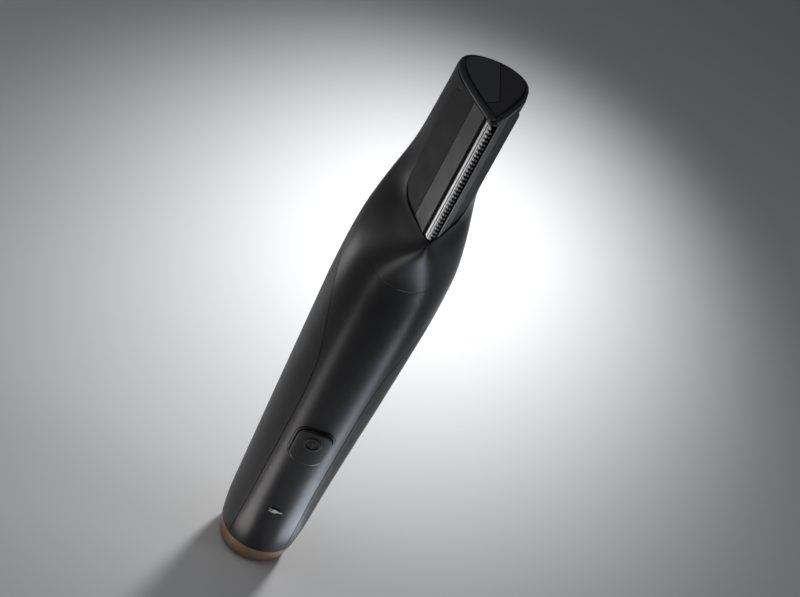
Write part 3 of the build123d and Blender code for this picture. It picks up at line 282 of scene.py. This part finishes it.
STRIP_THICK = 0.34
STRIP_LEFT = COMB_LOW.x
STRIP_RIGHT = STRIP_LEFT + 0.36  # the straight back part's thickness
FLANK_FRONT = 0.74  # distance behind the tips
GROOVE_WIDTH, GROOVE_DEPTH = 0.16, 0.16
BEND_OUTSIDE, BEND_INSIDE = 2.3, 2.15  # where the lip turns into the straight back part
TOE_HEIGHT, TOE_BACK = 3.0, -12.4  # the shorter strip at the lower end

GUARD_FRONT, GUARD_BACK = 1.36, 1.9  # distances behind the tips
GUARD_PROUD, GUARD_FOOT = 0.06, 0.01  # how far its front corners stand out of the comb's face
GUARD_SUNK, GUARD_DEEP = 0.18, 0.5  # depths of its outer corners below the V face
GUARD_BITE = -0.02  # how far its back corner goes into the comb
GUARD_ENDS = (BLADE_LOW + 0.3, BLADE_HIGH - 0.1)

LIP_ACROSS, LIP_RADIUS = 1.58, 0.16  # distance of the slot's lip, painted bright as a highlight, from the middle plane
LIP_ENDS = (BLADE_LOW + 0.2, BLADE_HIGH - 0.2)


def along(distance, out):
    """Plan position at a distance behind the tooth tips and out of the lip's face."""
    return tuple(TIP + BACK_ALONG * distance + OUT * out)


def on_face(side, across, deep):
    """Plan position on a V face: distance from the middle plane and depth below the face."""
    x = across - deep * cos(V_HALF)
    return (side * x, V_APEX + across / tan(V_HALF) + deep * sin(V_HALF))


def tooth(middle):
    """Rounded tooth that tapers to its tip, at a height."""
    rings = []
    for distance, half, thick, sink in TOOTH_SECTIONS:
        ring = []
        for across, rise in circle():
            x, y = along(distance, -sink - thick / 2 * (1 - across))
            ring.append((x, y, middle + half * rise))
        rings.append(ring)
    return skin(rings)


def flank(back, low, high):
    """Plain flank behind a shallow groove, and the strip's straight back part."""
    groove_back = FLANK_FRONT + GROOVE_WIDTH
    outline = [along(FLANK_FRONT, -STRIP_THICK), along(FLANK_FRONT, -GROOVE_DEPTH),
               along(groove_back, -GROOVE_DEPTH), along(groove_back, 0.0), along(BEND_OUTSIDE, 0.0),
               (STRIP_LEFT, back), (STRIP_RIGHT, back), along(BEND_INSIDE, -STRIP_THICK)]
    return prism(outline, low, high)


def add_comb():
    """Ground comb: a row of teeth in front of the flank."""
    shapes = [tooth(BLADE_LOW + FIRST_TOOTH + k * TOOTH_PITCH) for k in range(TOOTH_COUNT)]
    shapes.append(flank(COMB_HIGH.y, BLADE_LOW + TOE_HEIGHT, BLADE_HIGH))
    shapes.append(flank(TOE_BACK, BLADE_LOW, BLADE_LOW + TOE_HEIGHT))
    comb = add_mesh("comb_blade", merge(shapes), "head", "comb_steel")
    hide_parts("fixed_comb")


def add_slot_guard():
    """Dark guard between the comb and the left strip."""
    outline = [along(GUARD_FRONT, GUARD_PROUD), on_face(-1, GUARD_FRONT, GUARD_SUNK),
               on_face(-1, GUARD_FRONT, GUARD_DEEP), along(GUARD_BACK, GUARD_BITE),
               along(GUARD_FRONT, GUARD_FOOT)]
    add_mesh("slot_guard", prism(outline, *GUARD_ENDS), "head", "slot_black")


def add_slot_lip_painted_highlight():
    """Slim lip along the slot's right edge, coloured near white and bluish as a painted highlight of that
    edge.
    """
    x, y = on_face(1, LIP_ACROSS, 0.0)
    outline = [(x + LIP_RADIUS * across, y + LIP_RADIUS * back) for across, back in circle()]
    add_mesh("slot_lip_painted_highlight", prism(outline, *LIP_ENDS), "head", "strip_silver", "lip_painted_highlight", smooth=True)


# ---- top cap ------------------------------------------------------------------------------------------------
CAP_TOP = 173.0  # height of the top's plane over the front edge
CAP_SLOPE = 0.11  # fall towards the back
CAP_HALF, CAP_CENTRE, CAP_BACK, CAP_FRONT = 8.4, 2.2, 9.9, -22.6  # the oval that the V faces cut
CAP_ROUND, CAP_PINCH = 2.15, 9.0  # powers: how full the oval is, how sharp its corners with the faces are
CAP_STAND_OFF = 0.12  # how far the cap stands out of the V faces
CAP_NOSE_R = 1.1  # radius of its front corner
NOSE_STEPS, EDGE_STEPS = 12, 90
NOSE_GAP = 0.4  # smallest step from the nose's arc to the edge behind it

# profiles round the cap: distance in from the edge, depth below the top
RIM_PROFILE = [(-0.02, 1.45), (-0.02, 0.95), (0.03, 0.62), (0.15, 0.34), (0.34, 0.17), (0.56, 0.09),
               (0.76, 0.075), (0.84, 0.12), (0.6, 0.7), (0.3, 1.45)]
# thin dark ring a hair above the top face, beside the rim: painted shade of the groove there (inset, depth
# below the top)
SHADE_RING_PROFILE = [(0.90, 0.03), (0.90, -0.010), (1.22, -0.010), (1.22, 0.03)]

# the insert's parting line, an L in plan
LINE_CORNER = Vector((0.9, -10.2))
LINE_ENDS = {"insert_line_long": Vector((1.22, 8.7)), "insert_line_short": Vector((-2.1, -13.0))}
LINE_HALF = 0.085
LINE_SINK, LINE_PROUD = -0.03, 0.008


def cap_top(y):
    """Height of the cap's sloping top."""
    return CAP_TOP - CAP_SLOPE * (y - V_APEX)


def cap_reach(angle):
    """Distance from the cap's middle to its edge in a direction."""
    ux, uy = cos(angle), sin(angle)
    depth = CAP_BACK - CAP_CENTRE if uy > 0 else CAP_CENTRE - CAP_FRONT
    oval = ((abs(ux) / CAP_HALF) ** CAP_ROUND + (abs(uy) / depth) ** CAP_ROUND) ** (1 / CAP_ROUND)
    face = (CAP_CENTRE - V_APEX) * sin(V_HALF) + CAP_STAND_OFF
    pinch = max(0.0, abs(ux) * cos(V_HALF) - uy * sin(V_HALF)) / face
    return (oval**CAP_PINCH + pinch**CAP_PINCH) ** (-1 / CAP_PINCH)


def cap_outline():
    """Plan points round the cap's edge, anticlockwise from the nose, with their inward directions."""
    nose_y = V_APEX + (CAP_NOSE_R - CAP_STAND_OFF) / sin(V_HALF)
    points = []
    for step in range(NOSE_STEPS + 1):
        turn = -pi / 2 + (pi / 2 - V_HALF) * step / NOSE_STEPS
        points.append(Vector((CAP_NOSE_R * cos(turn), nose_y + CAP_NOSE_R * sin(turn))))
    nose_end = points[-1].y
    for step in range(1, EDGE_STEPS):
        angle = -pi / 2 + pi * step / EDGE_STEPS
        reach = cap_reach(angle)
        point = Vector((reach * cos(angle), CAP_CENTRE + reach * sin(angle)))
        if point.y > nose_end + NOSE_GAP:
            points.append(point)
    points.append(Vector((0.0, CAP_CENTRE + cap_reach(pi / 2))))
    points += [Vector((-p.x, p.y)) for p in reversed(points[1:-1])]
    inward = []
    for i in range(len(points)):
        run = (points[(i + 1) % len(points)] - points[i - 1]).normalized()
        inward.append(Vector((-run.y, run.x)))
    return points, inward


def cap_band(profile):
    """Closed band round the cap from a profile."""
    points, inward = cap_outline()
    rings = []
    for inset, depth in profile:
        places = [point + into * inset for point, into in zip(points, inward)]
        rings.append([(place.x, place.y, cap_top(place.y) - depth) for place in places])
    return skin(rings, looped=True)


def add_cap_rim():
    """Rounded rim over the cap's bevel, and a thin dark ring just above the top face beside the rim: painted
    shade for the groove between the rim and the top face.
    """
    add_mesh("cap_rim", cap_band(RIM_PROFILE), "head", "cap_black", smooth=True)
    add_mesh("cap_painted_shade_ring", cap_band(SHADE_RING_PROFILE), "head", "slot_black")


def add_insert_line():
    """Dark parting line along the two free edges of the cap's insert."""
    for name, end in LINE_ENDS.items():
        run = (end - LINE_CORNER).normalized()
        across = Vector((-run.y, run.x)) * LINE_HALF
        start = LINE_CORNER - run * LINE_HALF
        corners = [start + across, start - across, end - across, end + across]
        rings = [[(c.x, c.y, cap_top(c.y) + lift) for c in corners] for lift in (LINE_SINK, LINE_PROUD)]
        add_mesh(name, skin(rings), "head", "slot_black")


# ---- lamp window --------------------------------------------------------------------------------------------
SYMBOL_LOW, SYMBOL_HIGH = box_mm("charge_symbol")
WINDOW_Y = SYMBOL_LOW.y + 0.06  # the cover's face behind the symbol
WINDOW_Z = SYMBOL_HIGH.z + 0.59
WINDOW_HALF_X, WINDOW_HALF_Z = 1.6, 0.42
WINDOW_SQUEEZE = 0.8  # part of each inset that is taken upright
WINDOW_SIDES = 24
WINDOW_BOW = 0.04  # how fast the cover's face falls back to the sides
WINDOW_PROFILE = [(0.0, -0.2), (0.0, 0.03), (0.12, 0.06), (0.3, 0.07)]  # inset, height out of the face


def add_window():
    """Small dark oval lamp window over the plug symbol."""
    rings = []
    for inset, proud in WINDOW_PROFILE:
        ring = []
        for across, rise in circle(WINDOW_SIDES):
            x = (WINDOW_HALF_X - inset) * across
            z = (WINDOW_HALF_Z - inset * WINDOW_SQUEEZE) * rise
            ring.append((x, WINDOW_Y - proud + x * x * WINDOW_BOW, WINDOW_Z + z))
        rings.append(ring)
    add_mesh("lamp_window", skin(rings), "handle", "slot_black", smooth=True)


add_comb()
add_slot_guard()
add_slot_lip_painted_highlight()
add_cap_rim()
add_insert_line()
add_window()


# ---- floor, camera and lights (metres and watts) ------------------------------------------------------------
FLOOR_HALF = 4.0
FLOOR_GAP = 0.001  # height of the strip lights above the floor
OBJECT_MIDDLE = (0.0, 0.0, 0.12)

CAMERA_LENS, CAMERA_SENSOR = 63.25, 36.0  # millimetres
CAMERA_PLACE = (-0.05680, -0.26396, 0.32229)
CAMERA_AIM = (0.01416, 0.04006, 0.07)
CAMERA_ROLL = radians(28.72)


def place_facing(thing, place, aim, roll=0.0):
    """Put a light or camera at a place, facing a point, rolled about its line of sight."""
    facing = (Vector(aim) - Vector(place)).to_track_quat("-Z", "Y") @ Quaternion((0.0, 0.0, 1.0), roll)
    thing.matrix_world = Matrix.Translation(place) @ facing.to_matrix().to_4x4()
    bpy.context.collection.objects.link(thing)


def blank_light(name, size, power, colour):
    """Rectangular area light that the camera doesn't see."""
    data = bpy.data.lights.new(name, "AREA")
    data.shape = "RECTANGLE"
    data.size, data.size_y = size
    data.energy = power
    data.color = colour
    light = bpy.data.objects.new(name, data)
    light.visible_camera = False
    return light


def area_light(name, place, size, power, colour=(1.0, 1.0, 1.0)):
    """Soft light that faces the object."""
    place_facing(blank_light(name, size, power, colour), place, OBJECT_MIDDLE)


def floor_strip(name, bearing, near, far, width, power, colour):
    """Light lying on the floor, facing up, that runs out from the base at a bearing from the front."""
    turn = radians(bearing)
    outward = Vector((sin(turn), -cos(turn), 0.0))
    down = Vector((0.0, 0.0, -1.0))
    middle = outward * (near + far) / 2 + Vector((0.0, 0.0, FLOOR_GAP))
    basis = Matrix((outward, down.cross(outward), down)).transposed().to_4x4()
    light = blank_light(name, (far - near, width), power, colour)
    light.matrix_world = Matrix.Translation(middle) @ basis
    bpy.context.collection.objects.link(light)


def add_floor():
    """Wide pale floor with a faint mottle."""
    corners = [(-FLOOR_HALF, -FLOOR_HALF, 0), (FLOOR_HALF, -FLOOR_HALF, 0),
               (FLOOR_HALF, FLOOR_HALF, 0), (-FLOOR_HALF, FLOOR_HALF, 0)]
    mesh = bpy.data.meshes.new("floor")
    mesh.from_pydata(corners, [], [(0, 1, 2, 3)])
    mesh.materials.append(MATERIALS["floor_pale"])
    floor = bpy.data.objects.new("floor", mesh)
    bpy.context.collection.objects.link(floor)


def add_camera():
    """Camera over the front left, rolled so that the groomer leans to the right."""
    data = bpy.data.cameras.new("camera")
    data.sensor_width = CAMERA_SENSOR
    data.lens = CAMERA_LENS
    data.clip_start = 0.01
    camera = bpy.data.objects.new("camera", data)
    place_facing(camera, CAMERA_PLACE, CAMERA_AIM, CAMERA_ROLL)
    bpy.context.scene.camera = camera


def add_world():
    """Dim, slightly cool light from all round."""
    world = bpy.data.worlds.new("world")
    world.use_nodes = True
    background = world.node_tree.nodes["Background"]
    background.inputs["Color"].default_value = (0.60, 0.61, 0.64, 1.0)
    background.inputs["Strength"].default_value = 0.09
    bpy.context.scene.world = world


def add_halo():
    """Spot from behind that makes the bright pool on the floor."""
    spot = bpy.data.lights.new("halo", "SPOT")
    spot.energy = 36.0
    spot.spot_size = radians(22.6)
    spot.spot_blend = 1.0
    spot.shadow_soft_size = 0.08
    halo = bpy.data.objects.new("halo", spot)
    place_facing(halo, place=(0.21, 0.545, 0.42), aim=(0.035, 0.147, 0.0))


def add_lights():
    """World, halo, the floor strips that the gloss mirrors as streaks, and soft light from three sides."""
    add_world()
    add_halo()
    floor_strip("strip_left", bearing=-36.0, near=0.020, far=0.15, width=0.013, power=0.016,
                colour=(1.0, 0.95, 0.93))
    floor_strip("strip_right", bearing=60.0, near=0.020, far=0.16, width=0.020, power=0.036,
                colour=(0.80, 0.87, 1.0))
    floor_strip("strip_blade", bearing=-117.0, near=0.15, far=0.24, width=0.08, power=0.055,
                colour=(1.0, 0.98, 0.97))
    area_light("top", place=(-0.12, 0.0, 0.55), size=(0.25, 0.25), power=0.3)
    area_light("left", place=(-0.5, 0.0, 0.22), size=(0.2, 0.35), power=0.24)
    area_light("right", place=(0.5, -0.05, 0.2), size=(0.15, 0.35), power=0.28, colour=(0.88, 0.92, 1.0))


add_floor()
add_camera()
add_lights()
bpy.context.scene.view_settings.view_transform = "Standard"
